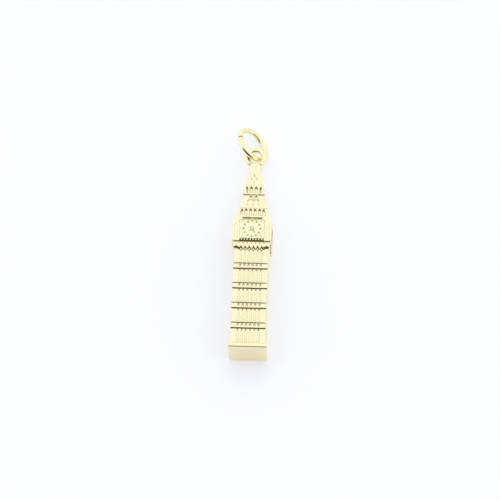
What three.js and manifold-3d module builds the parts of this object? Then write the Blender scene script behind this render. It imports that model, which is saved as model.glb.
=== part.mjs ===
// A clock-tower charm: a small square Gothic clock tower in cast metal, lying on its back,
// with a hanging loop on the spire tip and a split jump ring through the loop.
//
// Units are millimetres. The tower is built standing on its foot, tier on tier, in a frame
// whose +Z runs up the tower and whose -Y is the front. The whole tower is then laid on its
// back, so that +X is its width, +Y runs from foot to spire and +Z is the front.
// Every tier is a square solid with four like sides. Neighbouring tiers meet face to face.

import * as THREE from "three";
import { mergeVertices } from "three/addons/utils/BufferGeometryUtils.js";
import Module from "manifold-3d";

const wasm = await Module();
wasm.setup();

// ---------- driving dimensions ----------

// Widths across the flats.
const SHAFT_WIDTH = 5.48;
const PLINTH_WIDTH = 6.0;
const COURSE_WIDTH = 5.62;
const CORBEL_WIDTH = 5.78;
const CLOCK_WIDTH = 6.26;
const BELFRY_TOP_WIDTH = 4.3;
const LOWER_ROOF_WIDTH = 4.2;
const LOWER_ROOF_TOP_WIDTH = 3.4;
const LEDGE_WIDTH = 3.56;
const LANTERN_WIDTH = 3.34;
const SPIRE_WIDTH = 3.3;
const SPIRE_WAIST_WIDTH = 2.62;
const SPIRE_TOP_WIDTH = 1.94;
const NECK_WIDTH = 1.84;
const COLLAR_WIDTH = 2.05;

// Levels up the tower, from the foot.
const PLINTH_TOP = 0.73;
const FIRST_COURSE = 3.1;
const COURSE_PITCH = 3.36;
const COURSE_HEIGHT = 1.25;
const COURSES = 4;
const CORBEL_BOTTOM = FIRST_COURSE + COURSES * COURSE_PITCH;
const CORBEL_TOP = CORBEL_BOTTOM + 1.31;
const PANEL_BOTTOM = CORBEL_TOP + 0.7;
const SHOULDER_BOTTOM = 21.0;
const SHOULDER_TOP = 21.7;
const BELFRY_TOP = 24.05;
const LOWER_ROOF_TOP = 26.42;
const LEDGE_TOP = 26.9;
const LANTERN_TOP = 28.15;
const SPIRE_WAIST = 29.6;
const SPIRE_TOP = 30.7;
const NECK_TOP = 31.7;
const COLLAR_TOP = 32.35;

// Surface relief.
const BAYS = 6; // panels between the corner piers of every side
const PIER_WIDTH = 0.77;
const MULLION = 0.22;
const BAY_RECESS = 0.16;
const PLINTH_CORNER_RADIUS = 0.25;
const PLINTH_CHAMFER = 0.3; // round the foot's end face
const LIP_SLOPE = 0.22; // height of the sloping underside of a ledge
const LIP_FACE = 0.12;
const CORBEL_BAND_SHARE = 0.45; // of the corbel table's height, above its brackets
const BRACKET_DEPTH = 0.3;
const PANEL_WIDTH = 3.9;
const PANEL_NICHE_WIDTH = 3.96;
const PANEL_NICHE_DEPTH = 0.4;
const PANEL_PROUD = 0.05; // how far a clock panel stands out past the corner piers
const PANEL_HEAD = 0.15; // chamfer along the panel's upper edge
const DIAL_RADIUS = 1.5;
const DIAL_RECESS = 0.1;
const BOSS_RADIUS = 0.14;
const HAND_RISE = 0.07;
const HOUR_HAND = { width: 0.14, length: 0.8 };
const MINUTE_HAND = { width: 0.1, length: 1.15 };
const HOUR_HAND_ANGLE = -2.6;
const MINUTE_HAND_ANGLE = 2.5;
const DIAL_LEVEL = 20.06;
const SILL_WIDTH = 3.1; // the ledge over each clock panel
const SILL_HEIGHT = 0.44;
const SILL_SETBACK = 0.12; // of its face from the clock stage's
const SILL_DEPTH = 0.45;
const ARCH_DEPTH = 0.45;
const ARCH_WIDTH = 0.44;
const BELFRY_ARCH = { pitch: 0.72, height: 1.3, below: 0.14 };
const LANTERN_ARCH = { count: 4, pitch: 0.79, height: 1.0, sill: 0.1 };
const DORMER = { count: 3, pitch: 0.84, width: 0.4, eaves: 0.35, ridge: 0.6, depth: 0.6, level: 1.5 };
const EAVES_HEIGHT = 0.15;
const EAVES_STEP = 0.12;

// Hanging loop and jump ring, both round wire.
const LOOP_OUTER_DIAMETER = 3.6;
const LOOP_WIRE = 0.85;
const LOOP_LEVEL = 33.85;
const RING_OUTER_DIAMETER = 6.5;
const RING_WIRE = 0.9;
const RING_GAP = 0.12;
const RING_GAP_ANGLE = Math.PI;

// How the jump ring lies: its axis, and its centre from the loop's centre, in the laid frame.
const RING_AXIS = new THREE.Vector3(0.705, 0.262, 0.66).normalize();
const RING_OFFSET = new THREE.Vector3(-0.55, 2.58, -0.55);

// Facets round a curve.
const ARCH_FACETS = 3;
const CORNER_FACETS = 4;
const BOSS_FACETS = 8;
const DIAL_FACETS = 24;
const WIRE_FACETS = 12;
const LOOP_FACETS = 40;
const RING_FACETS = 48;

const MERGE_DISTANCE = 1e-3;
const QUARTER_TURN = Math.PI / 2;
const FACES = [
  ["front", 0],
  ["right", QUARTER_TURN],
  ["back", 2 * QUARTER_TURN],
  ["left", 3 * QUARTER_TURN],
];

// ---------- finishes ----------

const gold = new THREE.MeshStandardMaterial({
  name: "gold_plate",
  color: 0xf2dc8c,
  roughness: 0.22,
  metalness: 1.0,
});
const wireGold = new THREE.MeshStandardMaterial({
  name: "gold_wire",
  color: 0xf0d680,
  roughness: 0.15,
  metalness: 1.0,
});

// ---------- solids ----------

// A closed three.js geometry as a solid that can be joined and cut.
function solidOf(geometry) {
  const bare = geometry.clone();
  bare.deleteAttribute("normal");
  bare.deleteAttribute("uv");
  const merged = mergeVertices(bare, MERGE_DISTANCE);
  return new wasm.Manifold(
    new wasm.Mesh({
      numProp: 3,
      vertProperties: merged.attributes.position.array,
      triVerts: new Uint32Array(merged.index.array),
    }),
  );
}

// A solid back as a three.js geometry, with a flat normal on every face.
function geometryOf(solid) {
  const mesh = solid.getMesh();
  const shared = new THREE.BufferGeometry();
  shared.setAttribute("position", new THREE.BufferAttribute(mesh.vertProperties, 3));
  shared.setIndex(new THREE.BufferAttribute(mesh.triVerts, 1));
  const flat = shared.toNonIndexed();
  flat.computeVertexNormals();
  return flat;
}

function cut(geometry, cutters) {
  const body = cutters.reduce((left, cutter) => left.subtract(solidOf(cutter)), solidOf(geometry));
  return geometryOf(body);
}

function join(geometries) {
  const [first, ...rest] = geometries.map(solidOf);
  return geometryOf(rest.reduce((sum, next) => sum.add(next), first));
}

// The space that two geometries share.
function overlapOf(one, other) {
  return geometryOf(solidOf(one).intersect(solidOf(other)));
}

// The same geometry on all four sides of the tower.
function onEachFace(geometry) {
  return FACES.map(([, turn]) => geometry.clone().rotateZ(turn));
}

function polygon(points) {
  return new THREE.Shape(points.map(([x, y]) => new THREE.Vector2(x, y)));
}

// ---------- tier shapes ----------

// A square tier whose sides follow a profile of [width, level] pairs from bottom to top.
function squareTier(profile) {
  const outline = profile.map(([width, level]) => new THREE.Vector2(width / Math.SQRT2, level));
  const bottom = new THREE.Vector2(0, profile[0][1]);
  const top = new THREE.Vector2(0, profile[profile.length - 1][1]);
  return new THREE.LatheGeometry([bottom, ...outline, top], 4, Math.PI / 4).rotateX(QUARTER_TURN);
}

// An upright prism from one level to another over a plan outline.
function prism(outline, bottom, top) {
  const settings = { depth: top - bottom, bevelEnabled: false, curveSegments: CORNER_FACETS };
  return new THREE.ExtrudeGeometry(outline, settings).translate(0, 0, bottom);
}

// The plan of a square tier whose one side is given as points along the front,
// from the left corner towards the right; the other sides are turned copies.
function fourSidedPlan(side) {
  const turned = ([x, y], turn) => [
    x * Math.cos(turn) - y * Math.sin(turn),
    x * Math.sin(turn) + y * Math.cos(turn),
  ];
  return polygon(FACES.flatMap(([, turn]) => side.map((point) => turned(point, turn))));
}

// A row of equal openings centred on a side: the middle of each, from left to right.
function rowCentres(count, pitch) {
  return Array.from({ length: count }, (_, i) => (i - (count - 1) / 2) * pitch);
}

// Round-headed opening cut into the front from outside, its sill at the given level.
function archCutter(centre, sill, width, height, faceHalfWidth) {
  const springing = height - width / 2;
  const outline = new THREE.Shape();
  outline.moveTo(-width / 2, 0);
  outline.lineTo(width / 2, 0);
  outline.lineTo(width / 2, springing);
  outline.absarc(0, springing, width / 2, 0, Math.PI, false);
  outline.lineTo(-width / 2, 0);
  const settings = { depth: 2 * ARCH_DEPTH, bevelEnabled: false, curveSegments: ARCH_FACETS };
  return new THREE.ExtrudeGeometry(outline, settings)
    .rotateX(QUARTER_TURN)
    .translate(centre, -faceHalfWidth + ARCH_DEPTH, sill);
}

// ---------- sub-parts of the tower ----------

function basePlinth() {
  const half = PLINTH_WIDTH / 2;
  const corner = half - PLINTH_CORNER_RADIUS;
  const outline = new THREE.Shape();
  FACES.forEach(([, turn], i) => {
    const [x, y] = [[corner, -corner], [corner, corner], [-corner, corner], [-corner, -corner]][i];
    outline.absarc(x, y, PLINTH_CORNER_RADIUS, turn - QUARTER_TURN, turn, false);
  });
  const tapered = squareTier([
    [PLINTH_WIDTH - 2 * PLINTH_CHAMFER, 0],
    [PLINTH_WIDTH, PLINTH_CHAMFER],
    [PLINTH_WIDTH, PLINTH_TOP],
  ]);
  return overlapOf(prism(outline, 0, PLINTH_TOP), tapered);
}

// One stage of the shaft: corner piers with panelled bays between them.
function shaftStage(bottom, top) {
  const half = SHAFT_WIDTH / 2;
  const inner = half - PIER_WIDTH;
  const pitch = (2 * inner) / BAYS;
  const side = [[-half, -half]];
  for (const centre of rowCentres(BAYS, pitch)) {
    const left = centre - (pitch - MULLION) / 2;
    const right = centre + (pitch - MULLION) / 2;
    side.push([left, -half], [left, -half + BAY_RECESS], [right, -half + BAY_RECESS], [right, -half]);
  }
  return prism(fourSidedPlan(side), bottom, top);
}

// A moulded band between two stages: two ledges with sloping undersides and a flat between.
function stringCourse(bottom) {
  const top = bottom + COURSE_HEIGHT;
  const lowerFace = bottom + LIP_SLOPE;
  const upperFace = top - LIP_FACE;
  return squareTier([
    [SHAFT_WIDTH - LIP_FACE, bottom],
    [COURSE_WIDTH, lowerFace],
    [COURSE_WIDTH, lowerFace + LIP_FACE],
    [SHAFT_WIDTH - LIP_FACE, lowerFace + 2 * LIP_FACE],
    [SHAFT_WIDTH - LIP_FACE, upperFace - LIP_SLOPE],
    [COURSE_WIDTH, upperFace],
    [COURSE_WIDTH, top],
  ]);
}

// The corbelled band under the clock stage, with a row of brackets on every side.
function corbelTable() {
  const bandBottom = CORBEL_TOP - CORBEL_BAND_SHARE * (CORBEL_TOP - CORBEL_BOTTOM);
  const backWidth = SHAFT_WIDTH - LIP_FACE;
  const band = squareTier([
    [backWidth, CORBEL_BOTTOM],
    [backWidth, bandBottom - LIP_SLOPE],
    [CORBEL_WIDTH, bandBottom],
    [CORBEL_WIDTH, CORBEL_TOP],
  ]);
  const bracketHeight = bandBottom - CORBEL_BOTTOM;
  const pitch = (SHAFT_WIDTH - 2 * PIER_WIDTH) / BAYS;
  const bracket = new THREE.BoxGeometry(MULLION, BRACKET_DEPTH, bracketHeight);
  const brackets = rowCentres(BAYS + 1, pitch).map((x) =>
    bracket.clone().translate(x, -(CORBEL_WIDTH - BRACKET_DEPTH) / 2, CORBEL_BOTTOM + bracketHeight / 2),
  );
  return join([band, ...brackets.flatMap(onEachFace)]);
}

// The plan of the clock stage: broad corner piers with a niche between them for each clock.
function nichedPlan(width) {
  const half = width / 2;
  const niche = PANEL_NICHE_WIDTH / 2;
  const back = CLOCK_WIDTH / 2 - PANEL_NICHE_DEPTH;
  return fourSidedPlan([
    [-half, -half],
    [-niche, -half],
    [-niche, -back],
    [niche, -back],
    [niche, -half],
  ]);
}

function clockStage() {
  return prism(nichedPlan(CLOCK_WIDTH), CORBEL_TOP, SHOULDER_BOTTOM);
}

// A flat hand pointing up from the dial's centre, then turned by its angle.
function clockHand({ width, length }, angle) {
  return new THREE.BoxGeometry(width, 2 * HAND_RISE, length).translate(0, 0, length / 2).rotateY(angle);
}

// A square clock panel with a coved foot, a sunk round dial, a boss and two hands.
function clockPanel(turn) {
  const back = CLOCK_WIDTH / 2 - PANEL_NICHE_DEPTH;
  const front = CLOCK_WIDTH / 2 + PANEL_PROUD;
  const section = polygon([
    [back, CORBEL_TOP],
    [front, PANEL_BOTTOM],
    [front, SHOULDER_TOP - PANEL_HEAD],
    [front - PANEL_HEAD, SHOULDER_TOP],
    [back, SHOULDER_TOP],
  ]);
  const slab = new THREE.ExtrudeGeometry(section, { depth: PANEL_WIDTH, bevelEnabled: false })
    .translate(0, 0, -PANEL_WIDTH / 2)
    .rotateX(QUARTER_TURN)
    .rotateZ(-QUARTER_TURN);
  const dialPlane = -front + DIAL_RECESS;
  const recess = new THREE.CylinderGeometry(DIAL_RADIUS, DIAL_RADIUS, 2 * DIAL_RECESS, DIAL_FACETS);
  recess.translate(0, -front, DIAL_LEVEL);
  const boss = new THREE.CylinderGeometry(BOSS_RADIUS, BOSS_RADIUS, 2 * HAND_RISE, BOSS_FACETS);
  const hands = [boss, clockHand(HOUR_HAND, HOUR_HAND_ANGLE), clockHand(MINUTE_HAND, MINUTE_HAND_ANGLE)];
  const placed = hands.map((piece) => piece.translate(0, dialPlane, DIAL_LEVEL));
  return join([cut(slab, [recess]), ...placed]).rotateZ(turn);
}

// The foot of the sloping shoulders, notched on each side for the head of a clock panel.
function shoulderSlope() {
  const slopeTop = widthOnShoulder(SHOULDER_TOP);
  const body = squareTier([
    [CLOCK_WIDTH, SHOULDER_BOTTOM],
    [slopeTop, SHOULDER_TOP],
  ]);
  const back = CLOCK_WIDTH / 2 - PANEL_NICHE_DEPTH;
  const height = 4 * (SHOULDER_TOP - SHOULDER_BOTTOM);
  const depth = 2 * PANEL_NICHE_DEPTH;
  const notch = new THREE.BoxGeometry(PANEL_NICHE_WIDTH, depth, height);
  notch.translate(0, -back - depth / 2, SHOULDER_TOP);
  return cut(body, onEachFace(notch));
}

// Width of the shoulders at a level: they narrow evenly up to the belfry's head.
function widthOnShoulder(level) {
  const share = (level - SHOULDER_BOTTOM) / (BELFRY_TOP - SHOULDER_BOTTOM);
  return CLOCK_WIDTH + (BELFRY_TOP_WIDTH - CLOCK_WIDTH) * share;
}

// The belfry: the upper part of the shoulders, with a ledge over each clock and, above it,
// six arched openings.
function belfry() {
  const body = squareTier([
    [widthOnShoulder(SHOULDER_TOP), SHOULDER_TOP],
    [BELFRY_TOP_WIDTH, BELFRY_TOP],
  ]);
  const { pitch, height, below } = BELFRY_ARCH;
  const archSill = BELFRY_TOP - height - below;
  const arches = rowCentres(BAYS, pitch).map((x) =>
    archCutter(x, archSill, ARCH_WIDTH, height, widthOnShoulder(archSill) / 2),
  );
  return join([cut(body, arches.flatMap(onEachFace)), ...onEachFace(clockSill())]);
}

// The ledge over a clock panel: a sloping underside, a narrow face and a sloping top.
function clockSill() {
  const front = CLOCK_WIDTH / 2 - SILL_SETBACK;
  const face = SHOULDER_TOP + SILL_HEIGHT - LIP_FACE;
  const section = polygon([
    [front - SILL_DEPTH, SHOULDER_TOP],
    [front, face],
    [front, SHOULDER_TOP + SILL_HEIGHT],
    [front - SILL_DEPTH, SHOULDER_TOP + 2 * SILL_HEIGHT],
  ]);
  return new THREE.ExtrudeGeometry(section, { depth: SILL_WIDTH, bevelEnabled: false })
    .translate(0, 0, -SILL_WIDTH / 2)
    .rotateX(QUARTER_TURN)
    .rotateZ(-QUARTER_TURN);
}

// The lower roof, with a row of small gabled dormers on every slope.
function lowerRoof() {
  const body = squareTier([
    [LOWER_ROOF_WIDTH, BELFRY_TOP],
    [LOWER_ROOF_TOP_WIDTH, LOWER_ROOF_TOP],
  ]);
  const { count, pitch, width, eaves, ridge, depth, level } = DORMER;
  const gable = polygon([
    [-width / 2, 0],
    [width / 2, 0],
    [width / 2, eaves],
    [0, ridge],
    [-width / 2, eaves],
  ]);
  const dormer = new THREE.ExtrudeGeometry(gable, { depth, bevelEnabled: false }).rotateX(QUARTER_TURN);
  const dormers = rowCentres(count, pitch).map((x) =>
    dormer.clone().translate(x, (depth - LOWER_ROOF_TOP_WIDTH) / 2, BELFRY_TOP + level),
  );
  return join([body, ...dormers.flatMap(onEachFace)]);
}

function lanternLedge() {
  const face = LOWER_ROOF_TOP + LIP_SLOPE;
  return squareTier([
    [LEDGE_WIDTH - LIP_SLOPE, LOWER_ROOF_TOP],
    [LEDGE_WIDTH, face],
    [LEDGE_WIDTH, face + LIP_FACE],
    [LEDGE_WIDTH - LIP_FACE, LEDGE_TOP],
  ]);
}

// The lantern: a small arcaded stage with four arched openings on every side.
function lantern() {
  const body = squareTier([
    [LANTERN_WIDTH, LEDGE_TOP],
    [LANTERN_WIDTH, LANTERN_TOP],
  ]);
  const { count, pitch, height, sill } = LANTERN_ARCH;
  const arches = rowCentres(count, pitch).map((x) =>
    archCutter(x, LEDGE_TOP + sill, ARCH_WIDTH, height, LANTERN_WIDTH / 2),
  );
  return cut(body, arches.flatMap(onEachFace));
}

function spireRoof() {
  return squareTier([
    [SPIRE_WIDTH, LANTERN_TOP],
    [SPIRE_WIDTH, LANTERN_TOP + EAVES_HEIGHT],
    [SPIRE_WIDTH - 2 * EAVES_STEP, LANTERN_TOP + 2 * EAVES_HEIGHT],
    [SPIRE_WAIST_WIDTH, SPIRE_WAIST],
    [SPIRE_TOP_WIDTH, SPIRE_TOP],
  ]);
}

function spireNeck() {
  return squareTier([
    [SPIRE_TOP_WIDTH, SPIRE_TOP],
    [NECK_WIDTH, (SPIRE_TOP + NECK_TOP) / 2],
    [SPIRE_TOP_WIDTH, NECK_TOP],
  ]);
}

function loopCollar() {
  return squareTier([
    [SPIRE_TOP_WIDTH, NECK_TOP],
    [COLLAR_WIDTH, COLLAR_TOP - LIP_SLOPE],
    [NECK_WIDTH, COLLAR_TOP],
  ]);
}

// The hanging loop: a round wire ring facing front and back, its foot cut flat on the collar.
function hangingLoop() {
  const radius = (LOOP_OUTER_DIAMETER - LOOP_WIRE) / 2;
  const ring = new THREE.TorusGeometry(radius, LOOP_WIRE / 2, WIRE_FACETS, LOOP_FACETS)
    .rotateX(QUARTER_TURN)
    .translate(0, 0, LOOP_LEVEL);
  const size = LOOP_OUTER_DIAMETER;
  const below = new THREE.BoxGeometry(size, size, size).translate(0, 0, COLLAR_TOP - size / 2);
  return cut(ring, [below]);
}

// The jump ring: round wire bent to a circle about +Z, with a narrow gap where its ends meet.
function jumpRing() {
  const radius = (RING_OUTER_DIAMETER - RING_WIRE) / 2;
  const ring = new THREE.TorusGeometry(radius, RING_WIRE / 2, WIRE_FACETS, RING_FACETS);
  const gap = new THREE.BoxGeometry(2 * RING_WIRE, RING_GAP, 2 * RING_WIRE)
    .translate(radius, 0, 0)
    .rotateZ(RING_GAP_ANGLE);
  return cut(ring, [gap]);
}

// ---------- the assembly ----------

function mesh(name, geometry, material = gold) {
  const made = new THREE.Mesh(geometry, material);
  made.name = name;
  return made;
}

const charm = new THREE.Group();
const tower = new THREE.Group();
charm.add(tower);

tower.add(mesh("base_plinth", basePlinth()));
let stageBottom = PLINTH_TOP;
for (let i = 0; i <= COURSES; i++) {
  const stageTop = FIRST_COURSE + i * COURSE_PITCH;
  tower.add(mesh(`shaft_stage_${i + 1}`, shaftStage(stageBottom, stageTop)));
  if (i < COURSES) tower.add(mesh(`string_course_${i + 1}`, stringCourse(stageTop)));
  stageBottom = stageTop + COURSE_HEIGHT;
}
tower.add(mesh("corbel_table", corbelTable()));
tower.add(mesh("clock_stage", clockStage()));
for (const [side, turn] of FACES) tower.add(mesh(`clock_panel_${side}`, clockPanel(turn)));
tower.add(mesh("shoulder_slope", shoulderSlope()));
tower.add(mesh("belfry", belfry()));
tower.add(mesh("lower_roof", lowerRoof()));
tower.add(mesh("lantern_ledge", lanternLedge()));
tower.add(mesh("lantern", lantern()));
tower.add(mesh("spire_roof", spireRoof()));
tower.add(mesh("spire_neck", spireNeck()));
tower.add(mesh("loop_collar", loopCollar()));
tower.add(mesh("hanging_loop", hangingLoop(), wireGold));

// Laid on its back: the back clock panel rests on the plane z = 0, and the middle of the
// overall length, jump ring included, is at y = 0.
const ringRadius = (RING_OUTER_DIAMETER - RING_WIRE) / 2;
const ringReachY = ringRadius * Math.sqrt(1 - RING_AXIS.y ** 2) + RING_WIRE / 2;
const overallLength = LOOP_LEVEL + RING_OFFSET.y + ringReachY;
const restDepth = CLOCK_WIDTH / 2 + PANEL_PROUD;
tower.rotation.x = -QUARTER_TURN;
tower.position.set(0, -overallLength / 2, restDepth);

const ring = mesh("jump_ring", jumpRing(), wireGold);
ring.quaternion.setFromUnitVectors(new THREE.Vector3(0, 0, 1), RING_AXIS);
ring.position.set(0, LOOP_LEVEL - overallLength / 2, restDepth).add(RING_OFFSET);
charm.add(ring);

export default charm;
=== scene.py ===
"""A gold-plated clock-tower charm with a hanging loop and a split jump ring, lying on a white table.

Every piece stands for one CAD node and takes its place and main sizes from that node's box.
The tower is modelled in millimetres in a frame of its own: +X across the front, +Y from the foot
to the spire, +Z out of the front, with the origin on the tower's axis at the foot. Relief is made
for the front side, turned to all four sides, and joined to the tier's core as one closed solid.
"""

import math

import bmesh
import bpy
from mathutils import Matrix, Vector


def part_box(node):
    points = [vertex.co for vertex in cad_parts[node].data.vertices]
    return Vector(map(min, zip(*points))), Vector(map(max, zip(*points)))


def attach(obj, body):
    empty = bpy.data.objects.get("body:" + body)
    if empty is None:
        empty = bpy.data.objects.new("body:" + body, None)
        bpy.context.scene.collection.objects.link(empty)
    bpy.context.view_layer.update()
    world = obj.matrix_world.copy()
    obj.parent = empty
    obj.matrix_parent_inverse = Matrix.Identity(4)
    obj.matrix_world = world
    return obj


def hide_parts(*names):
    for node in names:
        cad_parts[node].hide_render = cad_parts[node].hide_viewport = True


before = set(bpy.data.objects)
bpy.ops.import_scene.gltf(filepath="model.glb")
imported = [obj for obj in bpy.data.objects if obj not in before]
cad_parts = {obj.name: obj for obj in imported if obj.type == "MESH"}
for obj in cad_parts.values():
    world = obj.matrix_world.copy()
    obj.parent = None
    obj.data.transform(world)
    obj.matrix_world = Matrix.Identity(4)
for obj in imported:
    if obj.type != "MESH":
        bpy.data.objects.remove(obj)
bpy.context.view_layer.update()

# ---------- the tower's frame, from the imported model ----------

MM = 0.001
plinth_low, plinth_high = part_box("base_plinth")
FOOT_Y = plinth_low.y
AXIS_Z = (plinth_low.z + plinth_high.z) / 2
TO_ROW = Matrix.Translation((0, FOOT_Y, AXIS_Z)) @ Matrix.Scale(MM, 4)


def levels(node):
    """A tier's lowest and highest level above the foot, in mm."""
    low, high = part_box(node)
    return (low.y - FOOT_Y) / MM, (high.y - FOOT_Y) / MM


def half_width(node):
    low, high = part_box(node)
    return (high.x - low.x) / 2 / MM


# ---------- relief sizes, in mm ----------

BAYS = 6
SHAFT = half_width("shaft_stage_1")
PIER = 0.77
PITCH = 2 * (SHAFT - PIER) / BAYS
MULLION = 0.2
RECESS = 0.085
OVERLAP = 0.06  # how far a tier reaches into its neighbour, so that no gap shows
SOFT_EDGE = 0.03  # the rounding that casting and plating leave on an edge
CLOCK = half_width("clock_stage")
NICHE = 1.95
NICHE_DEPTH = 0.4
SHOULDER = 2.905  # half the width where the clock stage's shoulders meet the belfry
SILL = 1.55  # half the width of the ledge over a clock
SEGMENTS = 2
HAIR = 0.001  # how far a cutter passes a face, so that no film is left
CORNER = 0.01  # how near an edge must lie to a corner to count as one of its edges


# ---------- solids in mesh code ----------


def block(x, y, z):
    """A box between the given (low, high) pairs."""
    bm = bmesh.new()
    bmesh.ops.create_cube(bm, size=1.0)
    size = Matrix.Diagonal((x[1] - x[0], y[1] - y[0], z[1] - z[0], 1.0))
    middle = Matrix.Translation(((x[0] + x[1]) / 2, (y[0] + y[1]) / 2, (z[0] + z[1]) / 2))
    bm.transform(middle @ size)
    return bm


def loft(near_outline, far_outline, near, far):
    """A solid between two outlines in X and Y, anticlockwise seen from the front, at z near and far."""
    bm = bmesh.new()
    back = [bm.verts.new((x, y, near)) for x, y in near_outline]
    front = [bm.verts.new((x, y, far)) for x, y in far_outline]
    bm.faces.new(back[::-1])
    bm.faces.new(front)
    count = len(back)
    for i in range(count):
        j = (i + 1) % count
        bm.faces.new((back[i], back[j], front[j], front[i]))
    return bm


def prism(outline, near, far):
    return loft(outline, outline, near, far)


def moulding(section, left, right):
    """A bar across the front with a section of (z, y) points, anticlockwise with z to the right."""
    bm = prism(section, -right, -left)
    bm.transform(Matrix.Rotation(-math.pi / 2, 4, "Y"))
    return bm


def square_tier(profile):
    """A square tier round the tower's axis whose sides follow (half width, level) pairs upwards."""
    bm = bmesh.new()
    rings = [
        [bm.verts.new(corner) for corner in ((-h, y, h), (h, y, h), (h, y, -h), (-h, y, -h))]
        for h, y in profile
    ]
    bm.faces.new(rings[0][::-1])
    bm.faces.new(rings[-1])
    for lower, upper in zip(rings, rings[1:]):
        for i in range(4):
            j = (i + 1) % 4
            bm.faces.new((lower[i], lower[j], upper[j], upper[i]))
    bmesh.ops.recalc_face_normals(bm, faces=bm.faces)
    return bm


def softened(bm, width=SOFT_EDGE, segments=SEGMENTS, ends=True, least_angle=25):
    """Rounds every sharp edge; with ends=False, those round the lowest and highest level stay."""
    limit = math.radians(least_angle)
    heights = [v.co.y for v in bm.verts]
    extremes = (min(heights), max(heights))

    def at_an_end(edge):
        return any(all(abs(v.co.y - level) < 1e-5 for v in edge.verts) for level in extremes)

    sharp = [
        e for e in bm.edges
        if e.is_manifold and e.calc_face_angle(0) > limit and (ends or not at_an_end(e))
    ]
    bmesh.ops.bevel(
        bm, geom=sharp, offset=width, segments=segments, profile=0.5,
        affect="EDGES", clamp_overlap=True,
    )
    return bm


def moved(bm, matrix):
    copy = bm.copy()
    copy.transform(matrix)
    return copy


def gathered(solids):
    """Separate solids as one mesh; they must not touch each other."""
    bm = bmesh.new()
    for one in solids:
        mesh = bpy.data.meshes.new("part")
        one.to_mesh(mesh)
        bm.from_mesh(mesh)
        bpy.data.meshes.remove(mesh)
        one.free()
    return bm


def four_ways(solids):
    """The front side's solids on all four sides."""
    turned = [
        moved(one, Matrix.Rotation(side * math.pi / 2, 4, "Y")) for side in range(4) for one in solids
    ]
    for one in solids:
        one.free()
    return gathered(turned)


def temporary_object(bm):
    mesh = bpy.data.meshes.new("temporary")
    bm.to_mesh(mesh)
    bm.free()
    made = bpy.data.objects.new("temporary", mesh)
    bpy.context.scene.collection.objects.link(made)
    return made


def combined(base, other, operation):
    """Base with the other solid joined on (UNION) or cut away (DIFFERENCE)."""
    first, second = temporary_object(base), temporary_object(other)
    boolean = first.modifiers.new("combine", "BOOLEAN")
    boolean.operation = operation
    boolean.solver = "MANIFOLD"
    boolean.object = second
    result = bmesh.new()
    result.from_object(first, bpy.context.evaluated_depsgraph_get())
    for used in (first, second):
        mesh = used.data
        bpy.data.objects.remove(used)
        bpy.data.meshes.remove(mesh)
    return result


def joined(base, *others):
    for other in others:
        base = combined(base, other, "UNION")
    return base


def cut(base, *others):
    for other in others:
        base = combined(base, other, "DIFFERENCE")
    return base


# ---------- shapes that repeat ----------


def row(count, pitch):
    """Centres of a row of equal things across a side."""
    return [(i - (count - 1) / 2) * pitch for i in range(count)]


def pointed_arch(centre, sill, width, height, steps=6):
    """Outline of a Gothic opening: upright sides and a head of two arcs as wide as the opening."""
    rise = width * math.sin(math.radians(60))
    springing = sill + height - rise
    half = width / 2
    right = [
        (centre - half + width * math.cos(a), springing + width * math.sin(a))
        for a in (math.radians(60 * i / steps) for i in range(steps + 1))
    ]
    left = [(2 * centre - x, y) for x, y in reversed(right[:-1])]
    return [(centre - half, sill), (centre + half, sill), *right, *left]


def gable_outline(centre, low, spring, apex, half):
    """Outline of an opening with a blunt pointed head: upright sides up to spring, then the apex."""
    return [(centre - half, low), (centre + half, low), (centre + half, spring), (centre, apex),
            (centre - half, spring)]


def disc(centre, radius, near, far, sides=48):
    """A round solid facing the front, as wide as given."""
    outline = [
        (centre[0] + radius * math.cos(2 * math.pi * i / sides),
         centre[1] + radius * math.sin(2 * math.pi * i / sides))
        for i in range(sides)
    ]
    return prism(outline, near, far)


def splayed_arch(centre, sill, width, height, floor, face, splay=0.06, rise=0.14):
    """Cutter for an arched recess whose jambs and head slope outwards from its floor to the face."""
    inner = pointed_arch(centre, sill, width - 2 * splay, height - rise)
    outer = pointed_arch(centre, sill, width, height)
    margin = 0.02

    def at(z):
        share = (z - floor) / (face - floor)
        return [(a + (c - a) * share, b + (d - b) * share) for (a, b), (c, d) in zip(inner, outer)]

    return loft(at(floor - margin), at(face + margin), floor - margin, face + margin)


def pit(x, y, radius, depth, face, sides=12):
    """Cutter for a small conical pit in the front."""
    bm = bmesh.new()
    bmesh.ops.create_cone(
        bm, cap_ends=True, segments=sides, radius1=radius * 0.25, radius2=radius * 1.15, depth=depth * 1.2
    )
    bm.transform(Matrix.Translation((x, y, face - depth * 0.4)))
    return bm


def arcade_plate(x, y, z, openings):
    """A plate with openings right through it, edges rounded."""
    return softened(cut(block(x, y, z), gathered(openings)))


# ---------- materials ----------

CAST_GOLD = (0.94, 0.85, 0.54, 1.0)
# Painted shade: the dark colour that the gold is drawn towards in crevices, standing in for their shade.
PAINTED_CREVICE_SHADE = (0.22, 0.165, 0.075, 1.0)
WIRE_GOLD = (0.95, 0.86, 0.51, 1.0)


PAINTED_SHADE_REACH = 0.3  # how far from a wall, in mm, the painted crevice shade reaches
PAINTED_SHADE_OPEN = (0.3, 0.74)  # open share of the view at which the colour is all painted crevice shade, and all plate
CLOUD_SIZE = 1.6  # in mm
CLOUD_DARKEST = 0.96
POLISH_PATCH = 0.7  # in mm
POLISH_SPREAD = (0.75, 1.35)  # least and greatest share of the roughness
BROAD_GRAIN = 6  # the broad grain's size and height, as multiples of the fine grain's
BROAD_HEIGHT = 3.0
GRAIN_STRENGTH = 0.5

# Sockets of a Mix node that mixes colours.
MIX_SHARE, MIX_FIRST, MIX_SECOND, MIX_RESULT = 0, 6, 7, 2


def math_node(nodes, links, operation, *inputs):
    node = nodes.new("ShaderNodeMath")
    node.operation = operation
    for socket, value in zip(node.inputs, inputs):
        if isinstance(value, (int, float)):
            socket.default_value = value
        else:
            links.new(value, socket)
    return node.outputs[0]


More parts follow.
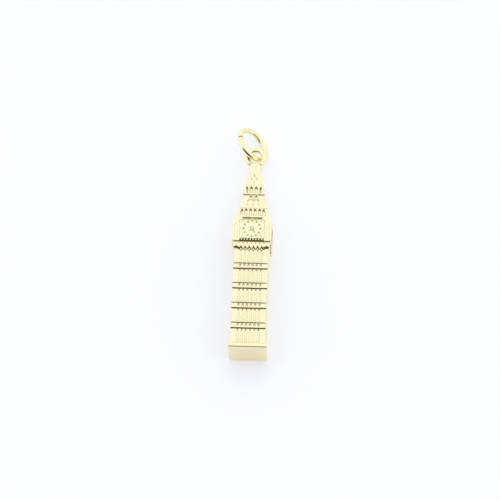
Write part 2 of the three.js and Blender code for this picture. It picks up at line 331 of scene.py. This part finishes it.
def noise(nodes, links, coordinates, scale, detail=3.0):
    """Noise of about the given size in mm."""
    node = nodes.new("ShaderNodeTexNoise")
    node.inputs["Scale"].default_value = 1 / (scale * MM)
    node.inputs["Detail"].default_value = detail
    links.new(coordinates, node.inputs["Vector"])
    return node.outputs["Fac"]


def gold(name, colour, painted_shade, roughness, grain, bump_height):
    """Gold plate: painted shade darkening the crevices, faint clouding, and a fine cast or drawn grain."""
    material = bpy.data.materials.new(name)
    material.use_nodes = True
    nodes, links = material.node_tree.nodes, material.node_tree.links
    shader = nodes["Principled BSDF"]
    shader.inputs["Metallic"].default_value = 1.0
    coordinates = nodes.new("ShaderNodeTexCoord").outputs["Object"]

    # Painted shade: where occlusion finds walls close by, the base colour is drawn towards the crevice
    # shade colour.
    occlusion = nodes.new("ShaderNodeAmbientOcclusion")
    occlusion.inputs["Distance"].default_value = PAINTED_SHADE_REACH * MM
    occlusion.samples = 8
    open_share = nodes.new("ShaderNodeMapRange")
    open_share.inputs["From Min"].default_value = PAINTED_SHADE_OPEN[0]
    open_share.inputs["From Max"].default_value = PAINTED_SHADE_OPEN[1]
    links.new(occlusion.outputs["AO"], open_share.inputs["Value"])

    clouds = noise(nodes, links, coordinates, CLOUD_SIZE)
    painted_shade_mix = nodes.new("ShaderNodeMix")
    painted_shade_mix.data_type = "RGBA"
    painted_shade_mix.inputs[MIX_FIRST].default_value = painted_shade
    painted_shade_mix.inputs[MIX_SECOND].default_value = colour
    links.new(open_share.outputs["Result"], painted_shade_mix.inputs[MIX_SHARE])
    shade = nodes.new("ShaderNodeMix")
    shade.data_type = "RGBA"
    shade.blend_type = "MULTIPLY"
    shade.inputs[MIX_SHARE].default_value = 1.0
    links.new(painted_shade_mix.outputs[MIX_RESULT], shade.inputs[MIX_FIRST])
    cloud_range = nodes.new("ShaderNodeMapRange")
    cloud_range.inputs["To Min"].default_value = CLOUD_DARKEST
    cloud_range.inputs["To Max"].default_value = 1.0
    links.new(clouds, cloud_range.inputs["Value"])
    grey = nodes.new("ShaderNodeCombineColor")
    for channel in grey.inputs:
        links.new(cloud_range.outputs["Result"], channel)
    links.new(grey.outputs["Color"], shade.inputs[MIX_SECOND])
    links.new(shade.outputs[MIX_RESULT], shader.inputs["Base Color"])

    patches = noise(nodes, links, coordinates, POLISH_PATCH)
    rough = nodes.new("ShaderNodeMapRange")
    rough.inputs["To Min"].default_value = roughness * POLISH_SPREAD[0]
    rough.inputs["To Max"].default_value = roughness * POLISH_SPREAD[1]
    links.new(patches, rough.inputs["Value"])
    links.new(rough.outputs["Result"], shader.inputs["Roughness"])

    fine = noise(nodes, links, coordinates, grain, detail=4.0)
    broad = noise(nodes, links, coordinates, grain * BROAD_GRAIN, detail=2.0)
    height = math_node(nodes, links, "MULTIPLY_ADD", broad, BROAD_HEIGHT, fine)
    bump = nodes.new("ShaderNodeBump")
    bump.inputs["Strength"].default_value = GRAIN_STRENGTH
    bump.inputs["Distance"].default_value = bump_height * MM
    links.new(height, bump.inputs["Height"])
    links.new(bump.outputs["Normal"], shader.inputs["Normal"])
    return material


cast_gold = gold("gold_cast", CAST_GOLD, PAINTED_CREVICE_SHADE, roughness=0.2, grain=0.12, bump_height=0.004)
wire_gold = gold("gold_wire", WIRE_GOLD, PAINTED_CREVICE_SHADE, roughness=0.14, grain=0.1, bump_height=0.002)


# ---------- pieces ----------


MERGE_DISTANCE = 1e-4  # in mm
SHARP_ANGLE = math.radians(38)
FLAT_WEIGHT = 80


def finished(node, bm, material=cast_gold, body="tower", matrix=TO_ROW):
    """The visible piece that stands for a CAD node."""
    bmesh.ops.remove_doubles(bm, verts=bm.verts, dist=MERGE_DISTANCE)
    bm.transform(matrix)
    mesh = bpy.data.meshes.new(node + "_visual")
    bm.to_mesh(mesh)
    bm.free()
    mesh.materials.append(material)
    piece = bpy.data.objects.new(node + "_visual", mesh)
    bpy.context.scene.collection.objects.link(piece)
    mesh.shade_smooth()
    mesh.set_sharp_from_angle(angle=SHARP_ANGLE)
    weights = piece.modifiers.new("flat faces stay flat", "WEIGHTED_NORMAL")
    weights.keep_sharp = True
    weights.weight = FLAT_WEIGHT
    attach(piece, body)
    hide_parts(node)
    return piece


REAR_ROUNDING = 0.58
END_ROUNDING = 0.24


def base_plinth():
    """The foot: a slab with rounded edges round its end face and along its rear corners."""
    half = half_width("base_plinth")
    bottom, top = levels("base_plinth")
    body = square_tier([
        (half, bottom), (half, top - 0.14), (half - 0.12, top), (half - 0.12, top + OVERLAP)
    ])

    def rounded(width, chosen):
        """Rounds the edges whose middles are chosen."""
        edges = [e for e in body.edges if chosen(sum((v.co for v in e.verts), Vector()) / 2)]
        bmesh.ops.bevel(body, geom=edges, offset=width, segments=6, profile=0.5, affect="EDGES")

    def along_rear_corner(middle):
        """On one of the two edges along the tower that lie on the table."""
        low_enough = middle.z < CORNER - half
        return low_enough and abs(middle.x) > half - CORNER and bottom + 0.1 < middle.y < top - 0.2

    def across_the_end(middle):
        """On the long front or back edge of the end face."""
        return middle.y < bottom + CORNER and abs(middle.z) > half - 0.2 and abs(middle.x) < 0.5

    rounded(REAR_ROUNDING, along_rear_corner)
    rounded(END_ROUNDING, across_the_end)
    return softened(body, 0.09, segments=3, ends=False, least_angle=40)


def shaft_stage(node):
    """A stage of the shaft: corner piers, and six panels, each with a fine rib and a pit at its head."""
    bottom, top = levels(node)
    low, high = bottom - OVERLAP, top + OVERLAP
    floor = SHAFT - RECESS
    face = SHAFT - 0.02
    inner = SHAFT - PIER
    core = square_tier([(floor, low), (floor, high)])
    piers = four_ways([
        softened(block((inner, SHAFT), (low, top), (inner, SHAFT)), 0.07, segments=3, ends=False)
    ])
    sill = low - OVERLAP
    half = (PITCH - MULLION) / 2
    spring, apex = top - 0.3, top - 0.18
    drop = 0.13
    arches = [
        loft(
            gable_outline(x, sill, spring - drop, apex - drop, half - 0.05),
            gable_outline(x, sill, spring, apex, half),
            floor - HAIR, face + HAIR,
        )
        for x in row(BAYS, PITCH)
    ]
    plate = arcade_plate((-inner - 0.05, inner + 0.05), (low, top), (floor - 0.05, face), arches)
    rib_face = SHAFT - 0.05
    rib_half = 0.06
    rib_top = top - 0.25
    ribs = [
        softened(block((x - rib_half, x + rib_half), (low, rib_top), (floor - 0.05, rib_face)), 0.025)
        for x in row(BAYS, PITCH)
    ]
    stretch = Matrix.Diagonal((1, 1.5, 1, 1))
    scallops = [
        moved(pit(0, 0, 0.14, 0.15, face), Matrix.Translation((x, top - 0.06, 0)) @ stretch)
        for x in row(BAYS, PITCH)
    ]
    body = joined(core, piers, four_ways([plate]), four_ways(ribs))
    return cut(body, four_ways(scallops))


def string_course(node):
    """A moulded band: a strong lower ledge, small arches, and a lighter upper ledge."""
    bottom, top = levels(node)
    proud = half_width(node)
    face = SHAFT - 0.05
    hollow = SHAFT - RECESS - 0.03
    floor = face - 0.13
    lower = [
        (hollow, bottom - OVERLAP), (hollow, bottom), (proud, bottom + 0.22), (proud, bottom + 0.36),
    ]
    band = [(face, bottom + 0.42), (face, top - 0.28)]
    upper = [(proud - 0.03, top - 0.11), (proud - 0.03, top), (hollow, top + OVERLAP)]
    body = square_tier([*lower, *band, *upper])
    sill = bottom + 0.52
    arches = [
        splayed_arch(x, sill, 0.36, top - 0.24 - sill, floor, face, splay=0.05, rise=0.13)
        for x in row(BAYS, PITCH)
    ]
    return softened(cut(body, four_ways(arches)), 0.02, ends=False)


def corbel_table():
    """The projecting band under the clocks, its lower edge cut into a zigzag with sloping undersides."""
    bottom, top = levels("corbel_table")
    proud = half_width("corbel_table")
    back = SHAFT - 0.16
    core = square_tier([(back, bottom - OVERLAP), (back, top + OVERLAP)])
    low = bottom - 0.3
    drop = 0.36
    spring, apex = bottom + 0.28, bottom + 0.8
    gap = 0.02
    bays = [
        loft(
            gable_outline(x, low, spring - drop, apex - drop, PITCH / 2 - gap - 0.06),
            gable_outline(x, low, spring, apex, PITCH / 2 - gap),
            back, proud + HAIR,
        )
        for x in row(BAYS, PITCH)
    ]
    over_pier = SHAFT - PIER / 2 + 0.06
    reach = proud + 0.02 - over_pier
    ends = [
        loft(
            gable_outline(x, low, spring - 0.2, spring, reach - 0.06),
            gable_outline(x, low, spring + 0.12, spring + 0.38, reach),
            back, proud + HAIR,
        )
        for x in (-over_pier, over_pier)
    ]
    pits = [pit(x, top - 0.22, 0.13, 0.11, proud, sides=8) for x in row(BAYS + 1, PITCH)]
    slab = block((-proud, proud), (bottom, top - 0.02), (back - 0.1, proud))
    slab = softened(cut(slab, gathered([*bays, *pits])), 0.02)
    sides = [moved(slab, Matrix.Rotation(side * math.pi / 2, 4, "Y")) for side in range(4)]
    slab.free()
    body = joined(core, *sides)
    over_piers = gathered(ends)
    for side in range(4):
        body = cut(body, moved(over_piers, Matrix.Rotation(side * math.pi / 2, 4, "Y")))
    over_piers.free()
    return body


def clock_stage():
    """Four broad corner piers, faintly fluted on their outer faces, with a niche on every side."""
    bottom, top = levels("clock_stage")
    back = CLOCK - NICHE_DEPTH
    core = square_tier([(back, bottom - OVERLAP), (back, top + OVERLAP)])
    pier = square_tier([
        (CLOCK - 0.22, bottom - 0.02), (CLOCK, bottom + 0.13), (CLOCK, top), (CLOCK - 0.01, top + OVERLAP)
    ])
    gap = block((-NICHE, NICHE), (bottom - 1, top + 1), (back - 0.5, CLOCK + 1))
    piers = softened(cut(pier, four_ways([gap])), 0.05, segments=3, ends=False)
    width = CLOCK - NICHE
    flutes = [
        block((centre - 0.03, centre + 0.03), (bottom + 0.5, top - 0.3), (CLOCK - 0.03, CLOCK + 0.3))
        for side in (-1, 1)
        for centre in (side * (NICHE + share * width) for share in (0.3, 0.68))
    ]
    return joined(softened(cut(piers, four_ways(flutes)), 0.012), core)


DIAL_LEVEL = 20.06
DIAL_RADIUS = 1.5
MINUTE_HAND = ((0.42, -0.62), (-0.2, 0.3))  # tip and tail, from the dial's centre
HOUR_HAND = ((-0.4, -0.38), (0.2, 0.2))


def hand_outline(tip, tail, width):
    """A clock hand, widest at the middle, from its tail to its tip; both are from the dial's centre."""
    tip, tail = Vector(tip), Vector(tail)
    side = Vector((-(tip - tail).y, (tip - tail).x)).normalized() * width / 2
    corners = [tail + side * 0.8, tail - side * 0.8, -side, tip - side * 0.35, tip + side * 0.35, side]
    return [(corner.x, corner.y + DIAL_LEVEL) for corner in corners]


def hand(tip, tail, width, near, far):
    """A raised clock hand with bevelled edges."""
    return softened(prism(hand_outline(tip, tail, width), near, far), 0.06, segments=1)


def hand_groove(tip, tail, face, depth=0.13):
    """Cutter for the trough that a hand stands in."""
    return loft(
        hand_outline(tip, tail, 0.06), hand_outline(1.1 * Vector(tip), 1.1 * Vector(tail), 0.36),
        face - depth, face + 0.01,
    )


HOURS = 12
HOUR_RADIUS = 1.3
DENTILS = 8


def clock_panel(node, side):
    """A square clock panel: coved foot with dentils, sunk dial with hour pits and hands, corner pits."""
    bottom, top = levels(node)
    back = CLOCK - NICHE_DEPTH
    front = CLOCK + 0.05
    field = front - 0.07
    foot = bottom + 0.6
    wide = NICHE + 0.02
    section = [
        (back - 0.1, bottom - 0.02), (back, bottom + 0.02), (front, foot), (front, top - 0.22),
        (front - 0.22, top - 0.05), (back - 0.1, top - 0.05),
    ]
    slab = softened(moulding(section, -wide, wide), 0.035)
    slab = cut(slab, disc((0, DIAL_LEVEL), DIAL_RADIUS, field, front + 1))
    pits = []
    for hour in range(HOURS):
        angle = hour * math.pi / 6
        x, y = HOUR_RADIUS * math.sin(angle), DIAL_LEVEL + HOUR_RADIUS * math.cos(angle)
        pits.append(pit(x, y, 0.15, 0.14, field))
    for x in (-0.9, -0.3, 0.3, 0.9):
        pits.append(pit(x, foot + 0.1, 0.06, 0.05, front, sides=8))
    for x in (-1, 1):
        pits += [pit(x * 1.5, DIAL_LEVEL + y, 0.1, 0.08, front, sides=8) for y in (-1.25, 1.25)]
    slab = softened(cut(slab, gathered(pits)), 0.012, least_angle=30)
    slab = cut(slab, hand_groove(*MINUTE_HAND, field), hand_groove(*HOUR_HAND, field))
    boss = softened(disc((0, DIAL_LEVEL), 0.12, field - 0.2, front + 0.02, sides=16), 0.03)
    minute = hand(*MINUTE_HAND, 0.15, field - 0.2, front)
    hour_hand = hand(*HOUR_HAND, 0.18, field - 0.2, front + 0.02)
    dentil_half, dentil_pitch = 0.1, 0.46
    across, along = (foot - 0.36, foot - 0.12), (front - 0.4, front - 0.05)
    dentils = [
        softened(block((x - dentil_half, x + dentil_half), across, along), 0.02)
        for x in row(DENTILS, dentil_pitch)
    ]
    panel = joined(slab, boss, minute, hour_hand, gathered(dentils))
    panel.transform(Matrix.Rotation(side * math.pi / 2, 4, "Y"))
    return panel


def shoulder_slope():
    bottom, top = levels("shoulder_slope")
    wide = half_width("shoulder_slope")
    body = square_tier([
        (wide - 0.005, bottom - OVERLAP), (wide, bottom), (SHOULDER, top), (SHOULDER - 0.02, top + OVERLAP)
    ])
    gap = block((-NICHE, NICHE), (bottom - 1, top + 1), (CLOCK - NICHE_DEPTH, CLOCK + 1))
    return softened(cut(body, four_ways([gap])), 0.04, ends=False)


def clock_ledge(bottom, left, right):
    """A length of the ledge over a clock: hollow underside, narrow face and sloping top."""
    front = CLOCK - 0.12
    back = front - 0.6
    section = [
        (back, bottom - 0.04), (front - 0.3, bottom - 0.04), (front - 0.02, bottom + 0.32),
        (front, bottom + 0.36), (front - 0.04, bottom + 0.44), (back, bottom + 0.95),
    ]
    return softened(moulding(section, left, right), 0.02)


BELFRY_PITCH = 0.72


def belfry():
    """Sloping walls with six pointed openings on every side, under a small cornice."""
    bottom, top = levels("belfry")
    wide = SHOULDER
    narrow = half_width("lower_roof") + 0.05
    depth = 0.3
    core = square_tier([(wide - depth, bottom - OVERLAP), (narrow - depth, top + OVERLAP)])
    lean = math.atan2(wide - narrow, top - bottom)
    length = math.hypot(wide - narrow, top - bottom)
    wall = prism([(-wide, 0), (wide, 0), (narrow, length), (-narrow, length)], -depth - 0.1, 0)
    sill = 0.85
    arches = [
        splayed_arch(x, sill, 0.5, length - sill - 0.12, -depth, 0, splay=0.08, rise=0.1)
        for x in row(BAYS, BELFRY_PITCH)
    ]
    wall = softened(cut(wall, gathered(arches)), 0.02, ends=False)
    wall.transform(Matrix.Translation((0, bottom, wide)) @ Matrix.Rotation(-lean, 4, "X"))
    sides = [moved(wall, Matrix.Rotation(side * math.pi / 2, 4, "Y")) for side in range(4)]
    wall.free()
    cornice = softened(square_tier([
        (narrow - 0.12, top - 0.1), (narrow + 0.05, top - 0.04), (narrow + 0.05, top),
        (narrow - 0.1, top + 0.06),
    ]), 0.02)
    ledges = [clock_ledge(bottom, -SILL, -0.1), clock_ledge(bottom, 0.1, SILL)]
    return joined(core, *sides, cornice, four_ways(ledges))


def dormer(centre, level, back, front, width, height):
    """A small gabled dormer standing out of a roof, with a deep arched opening."""
    deep = 0.5 * height
    half = width / 2
    eaves = level + height * 0.55
    outline = [(centre - half, level), (centre + half, level), (centre + half, eaves),
               (centre, level + height), (centre - half, eaves)]
    opening = splayed_arch(
        centre, level + 0.04, width * 0.78, height * 0.86, front - deep, front,
        splay=width * 0.06, rise=height * 0.5,
    )
    return softened(cut(prism(outline, back, front), opening), 0.015)


def tiled_slope(profile, courses):
    """A roof profile with each course of tiles overlapping the one below."""
    (wide, low), (narrow, high) = profile
    points = []
    for i in range(courses):
        share = i / courses
        following = (i + 1) / courses
        y = low + (high - low) * share
        half = wide + (narrow - wide) * share
        upper = wide + (narrow - wide) * following
        points += [(half, y), (upper + 0.025, low + (high - low) * following)]
    return points


def lower_roof():
    """The lower roof: courses of tiles and three rows of dormers on every slope."""
    bottom, top = levels("lower_roof")
    wide = half_width("lower_roof")
    narrow = half_width("lantern_ledge") - 0.1
    profile = tiled_slope(((wide, bottom), (narrow, top)), 6)
    body = softened(square_tier([(wide, bottom - OVERLAP), *profile, (narrow, top + OVERLAP)]), 0.012)

    def dormers(count, pitch, rise, width, height, out):
        level = bottom + rise
        surface = wide + (narrow - wide) * rise / (top - bottom)
        return four_ways([
            dormer(x, level, narrow - 0.4, surface + out, width, height) for x in row(count, pitch)
        ])

    low_row = dormers(3, 0.9, 0.35, 0.34, 0.45, 0.02)
    middle_row = dormers(3, 0.84, 1.12, 0.32, 0.42, 0.04)
    high_row = dormers(2, 0.84, 1.56, 0.6, 0.84, 0.1)
    return joined(body, low_row, middle_row, high_row)


def lantern_ledge():
    bottom, top = levels("lantern_ledge")
    proud = half_width("lantern_ledge")
    body = square_tier([
        (proud - 0.26, bottom - OVERLAP), (proud - 0.26, bottom), (proud, bottom + 0.2),
        (proud, bottom + 0.3), (proud - 0.1, top), (proud - 0.2, top + OVERLAP),
    ])
    return softened(body, 0.03)


LANTERN_OPENINGS = 4
LANTERN_PITCH = 0.79


def lantern():
    """A small open-looking stage with four pointed openings on every side."""
    bottom, top = levels("lantern")
    half = half_width("lantern")
    depth = 0.34
    core = square_tier([(half - depth, bottom - OVERLAP), (half - depth, top + OVERLAP)])
    sill = bottom + 0.06
    arches = [
        splayed_arch(x, sill, 0.54, top - 0.08 - sill, half - depth, half, splay=0.09, rise=0.2)
        for x in row(LANTERN_OPENINGS, LANTERN_PITCH)
    ]
    wall = block((-half, half), (bottom - OVERLAP, top + OVERLAP), (half - depth - 0.1, half))
    wall = softened(cut(wall, gathered(arches)), 0.02, ends=False)
    sides = [moved(wall, Matrix.Rotation(side * math.pi / 2, 4, "Y")) for side in range(4)]
    wall.free()
    return joined(core, *sides)


SPIRE_WAIST = 1.31  # half the spire's width where its slope steepens


def spire_roof():
    """The upper roof: an eaves moulding and tile courses on sides that curve in, with small dormers."""
    bottom, top = levels("spire_roof")
    wide = half_width("spire_roof")
    narrow = half_width("spire_neck") - 0.01
    waist = (SPIRE_WAIST, bottom + 1.45)
    eaves = [(wide - 0.06, bottom - OVERLAP), (wide, bottom + 0.06), (wide, bottom + 0.16)]
    lower = tiled_slope(((wide - 0.1, bottom + 0.24), waist), 5)
    upper = tiled_slope((waist, (narrow, top)), 3)
    body = softened(square_tier([*eaves, *lower, *upper[1:], (narrow, top + OVERLAP)]), 0.012)
    small = [
        dormer(x, bottom + rise, 0.4, out, 0.26, 0.34)
        for x, rise, out in ((0, 0.55, 1.5), (-0.42, 1.25, 1.38), (0.42, 1.25, 1.38), (0, 1.95, 1.2))
    ]
    return joined(body, four_ways(small))


def spire_neck():
    """The waist between roof and loop, its corners well rounded."""
    bottom, top = levels("spire_neck")
    wide = half_width("spire_neck")
    body = square_tier([
        (wide, bottom - OVERLAP), (wide - 0.04, bottom + 0.2), (wide - 0.08, (bottom + top) / 2),
        (wide - 0.04, top - 0.2), (wide, top + OVERLAP),
    ])
    return softened(body, 0.3, segments=5, ends=False, least_angle=60)


NOTCH_SIDE = 0.93  # how far from the axis the loop's round leaves the collar


def loop_notches():
    """Cutters for the two crevices where the loop's round leaves the collar."""
    foot = levels("hanging_loop")[0]
    half = half_width("loop_collar")
    return gathered([pit(x, foot - 0.02, 0.2, 0.5, half, sides=16) for x in (-NOTCH_SIDE, NOTCH_SIDE)])


def loop_collar():
    """The block that carries the loop, its corners well rounded, notched where the loop leaves it."""
    bottom, top = levels("loop_collar")
    proud = half_width("loop_collar")
    neck = half_width("spire_neck")
    body = square_tier([
        (neck - 0.02, bottom - OVERLAP), (neck, bottom + 0.2), (proud, top - 0.1),
        (proud - 0.08, top + 0.12), (proud - 0.3, top + 0.3),
    ])
    return cut(softened(body, 0.24, segments=5, ends=False, least_angle=60), loop_notches())


# ---------- wire ----------


def wire_ring(radius, wire, start, end, around=96, sides=20):
    """Round wire bent about +Z from one angle to another; a full turn closes on itself."""
    bm = bmesh.new()
    closed = end - start >= 2 * math.pi - 1e-6
    count = around if closed else around + 1
    rings = []
    for i in range(count):
        angle = start + (end - start) * i / around
        ring = []
        for k in range(sides):
            a = 2 * math.pi * k / sides
            r = radius + wire * math.cos(a)
            ring.append(bm.verts.new((r * math.cos(angle), r * math.sin(angle), wire * math.sin(a))))
        rings.append(ring)
    pairs = list(zip(rings, rings[1:])) + ([(rings[-1], rings[0])] if closed else [])
    for one, following in pairs:
        for k in range(sides):
            m = (k + 1) % sides
            bm.faces.new((one[k], following[k], following[m], one[m]))
    if not closed:
        bm.faces.new(rings[0])
        bm.faces.new(rings[-1][::-1])
    bmesh.ops.recalc_face_normals(bm, faces=bm.faces)
    return bm


def hanging_loop():
    """The loop's round wire, with solder filling the foot of its eye."""
    low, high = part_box("hanging_loop")
    outer = (high.x - low.x) / 2 / MM
    wire = (high.z - low.z) / 2 / MM
    foot, top = levels("hanging_loop")
    ring = moved(wire_ring(outer - wire, wire, 0, 2 * math.pi), Matrix.Translation((0, top - outer, 0)))
    below = block((-outer, outer), (foot - 2 * outer, foot - OVERLAP), (-outer, outer))
    solder = bmesh.new()
    bmesh.ops.create_uvsphere(solder, u_segments=28, v_segments=16, radius=1)
    solder.transform(Matrix.Translation((0, foot + 0.3, 0)) @ Matrix.Diagonal((0.8, 0.32, 0.36, 1)))
    return cut(joined(cut(ring, below), solder), loop_notches())


RING_OUTER = 3.25
RING_WIRE = 0.45
RING_GAP = 0.12
RING_AXIS = Vector((0.705, 0.262, 0.66)).normalized()


def jump_ring():
    """Round wire bent to a circle with its two cut ends almost meeting."""
    radius = RING_OUTER - RING_WIRE
    half_gap = RING_GAP / radius / 2
    body = wire_ring(
        radius, RING_WIRE, math.pi + half_gap, 3 * math.pi - half_gap, around=128, sides=24
    )
    rims = [e for e in body.edges if e.calc_face_angle(0) > math.radians(60)]
    bmesh.ops.bevel(body, geom=rims, offset=0.05, segments=3, profile=0.5, affect="EDGES")
    return body


def ring_matrix():
    """Where the jump ring lies: about its axis, centred on the middle of its CAD box."""
    low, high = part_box("jump_ring")
    middle = (low + high) / 2
    turn = Vector((0, 0, 1)).rotation_difference(RING_AXIS).to_matrix().to_4x4()
    return Matrix.Translation(middle) @ turn @ Matrix.Scale(MM, 4)


finished("base_plinth", base_plinth())
for i in range(1, 6):
    finished(f"shaft_stage_{i}", shaft_stage(f"shaft_stage_{i}"))
for i in range(1, 5):
    finished(f"string_course_{i}", string_course(f"string_course_{i}"))
finished("corbel_table", corbel_table())
finished("clock_stage", clock_stage())
for turn, side_name in enumerate(("front", "right", "back", "left")):
    finished(f"clock_panel_{side_name}", clock_panel(f"clock_panel_{side_name}", turn))
finished("shoulder_slope", shoulder_slope())
finished("belfry", belfry())
finished("lower_roof", lower_roof())
finished("lantern_ledge", lantern_ledge())
finished("lantern", lantern())
finished("spire_roof", spire_roof())
finished("spire_neck", spire_neck())
finished("loop_collar", loop_collar())
finished("hanging_loop", hanging_loop(), wire_gold)
finished("jump_ring", jump_ring(), wire_gold, "jump_ring", ring_matrix())


# ---------- table, light and camera ----------


TABLE_DARKEST = (0.475, 0.53, 0.585, 1)
TABLE_PALEST = (0.485, 0.54, 0.595, 1)
TABLE_REACH = 1.5  # in m
MOTTLE_SIZE = 8.0  # in mm
TABLE_GLOW = (0.536, 0.497, 0.485, 1)  # light that comes up through the table, which thins the shadows
TENT = (1.085, 1.135, 1.21, 1)
ROOM = (0.115, 0.082, 0.04, 1)
BACKDROP = (0.93, 0.94, 0.97, 1)  # what the camera itself sees past the table's edge
OPENING_TOWARDS = (-0.12, -0.93, 0.33)
OPENING_EDGE = (0.62, 0.84)  # how nearly one must face the opening to see its rim, and all of it
SIDEWAYS_SHARE = 0.7


def table_top():
    """A wide white table top, faintly mottled."""
    reach = TABLE_REACH
    mesh = bpy.data.meshes.new("table")
    corners = [(-reach, -reach, 0), (reach, -reach, 0), (reach, reach, 0), (-reach, reach, 0)]
    mesh.from_pydata(corners, [], [(0, 1, 2, 3)])
    table = bpy.data.objects.new("table", mesh)
    bpy.context.scene.collection.objects.link(table)
    material = bpy.data.materials.new("white_table")
    material.use_nodes = True
    nodes, links = material.node_tree.nodes, material.node_tree.links
    shader = nodes["Principled BSDF"]
    shader.inputs["Roughness"].default_value = 0.6
    shader.inputs["Specular IOR Level"].default_value = 0.2
    coordinates = nodes.new("ShaderNodeTexCoord").outputs["Object"]
    mottle = noise(nodes, links, coordinates, MOTTLE_SIZE)
    ramp = nodes.new("ShaderNodeValToRGB")
    ramp.color_ramp.elements[0].color = TABLE_DARKEST
    ramp.color_ramp.elements[1].color = TABLE_PALEST
    links.new(mottle, ramp.inputs["Fac"])
    links.new(ramp.outputs["Color"], shader.inputs["Base Color"])
    shader.inputs["Emission Color"].default_value = TABLE_GLOW
    shader.inputs["Emission Strength"].default_value = 1.0
    mesh.materials.append(material)


def studio():
    """A white tent all round, open towards the foot of the charm, where a darker room shows."""
    world = bpy.data.worlds.new("studio")
    bpy.context.scene.world = world
    world.use_nodes = True
    nodes, links = world.node_tree.nodes, world.node_tree.links
    background = nodes["Background"]
    direction = nodes.new("ShaderNodeTexCoord").outputs["Generated"]

    def facing(towards):
        """How nearly the view points that way; sideways turns count for less, so a patch is wide."""
        squeezed = nodes.new("ShaderNodeVectorMath")
        squeezed.operation = "MULTIPLY"
        squeezed.inputs[1].default_value = (SIDEWAYS_SHARE, 1.0, 1.0)
        links.new(direction, squeezed.inputs[0])
        unit = nodes.new("ShaderNodeVectorMath")
        unit.operation = "NORMALIZE"
        links.new(squeezed.outputs["Vector"], unit.inputs[0])
        dot = nodes.new("ShaderNodeVectorMath")
        dot.operation = "DOT_PRODUCT"
        dot.inputs[1].default_value = Vector(towards).normalized()
        links.new(unit.outputs["Vector"], dot.inputs[0])
        return dot.outputs["Value"]

    def ramp(value, low, high):
        ranged = nodes.new("ShaderNodeMapRange")
        ranged.interpolation_type = "SMOOTHSTEP"
        ranged.inputs["From Min"].default_value = low
        ranged.inputs["From Max"].default_value = high
        links.new(value, ranged.inputs["Value"])
        return ranged.outputs["Result"]

    opening = ramp(facing(OPENING_TOWARDS), *OPENING_EDGE)
    mix = nodes.new("ShaderNodeMix")
    mix.data_type = "RGBA"
    mix.inputs[MIX_FIRST].default_value = TENT
    mix.inputs[MIX_SECOND].default_value = ROOM
    links.new(opening, mix.inputs[MIX_SHARE])
    seen = nodes.new("ShaderNodeMix")
    seen.data_type = "RGBA"
    seen.inputs[MIX_SECOND].default_value = BACKDROP
    links.new(mix.outputs[MIX_RESULT], seen.inputs[MIX_FIRST])
    links.new(nodes.new("ShaderNodeLightPath").outputs["Is Camera Ray"], seen.inputs[MIX_SHARE])
    links.new(seen.outputs[MIX_RESULT], background.inputs["Color"])
    background.inputs["Strength"].default_value = 1.0


# The camera stands towards the foot and looks down steeply, from a little to the right.
AZIMUTH = math.radians(5.0)
ELEVATION = math.radians(66.8)
LEAN = math.radians(2.37)  # the tower's axis leans this far to the right in the frame
LENS = 180.0
SENSOR = 36.0
FRAME_WIDTH = 79.7 * MM
AIM_LEVEL = 17.66  # the level on the tower's axis that is in the middle of the frame, in mm
AIM_SIDE = -0.285


def camera():
    data = bpy.data.cameras.new("camera")
    made = bpy.data.objects.new("camera", data)
    bpy.context.scene.collection.objects.link(made)
    data.lens = LENS
    data.sensor_width = SENSOR
    data.clip_start = 0.01
    data.clip_end = 10
    level_reach = math.cos(ELEVATION)
    back = Vector((
        math.sin(AZIMUTH) * level_reach, -math.cos(AZIMUTH) * level_reach, math.sin(ELEVATION)
    ))
    right = Vector((math.cos(AZIMUTH), math.sin(AZIMUTH), 0))
    up = back.cross(right)
    roll = LEAN - math.atan2(right.y, up.y)
    frame_right = right * math.cos(roll) + up * math.sin(roll)
    frame_up = up * math.cos(roll) - right * math.sin(roll)
    aim = Vector((AIM_SIDE * MM, FOOT_Y + AIM_LEVEL * MM, AXIS_Z))
    place = Matrix((frame_right, frame_up, back)).transposed().to_4x4()
    place.translation = aim + back * (FRAME_WIDTH * LENS / SENSOR)
    made.matrix_world = place
    bpy.context.scene.camera = made


table_top()
studio()
camera()
bpy.context.scene.view_settings.view_transform = "Standard"
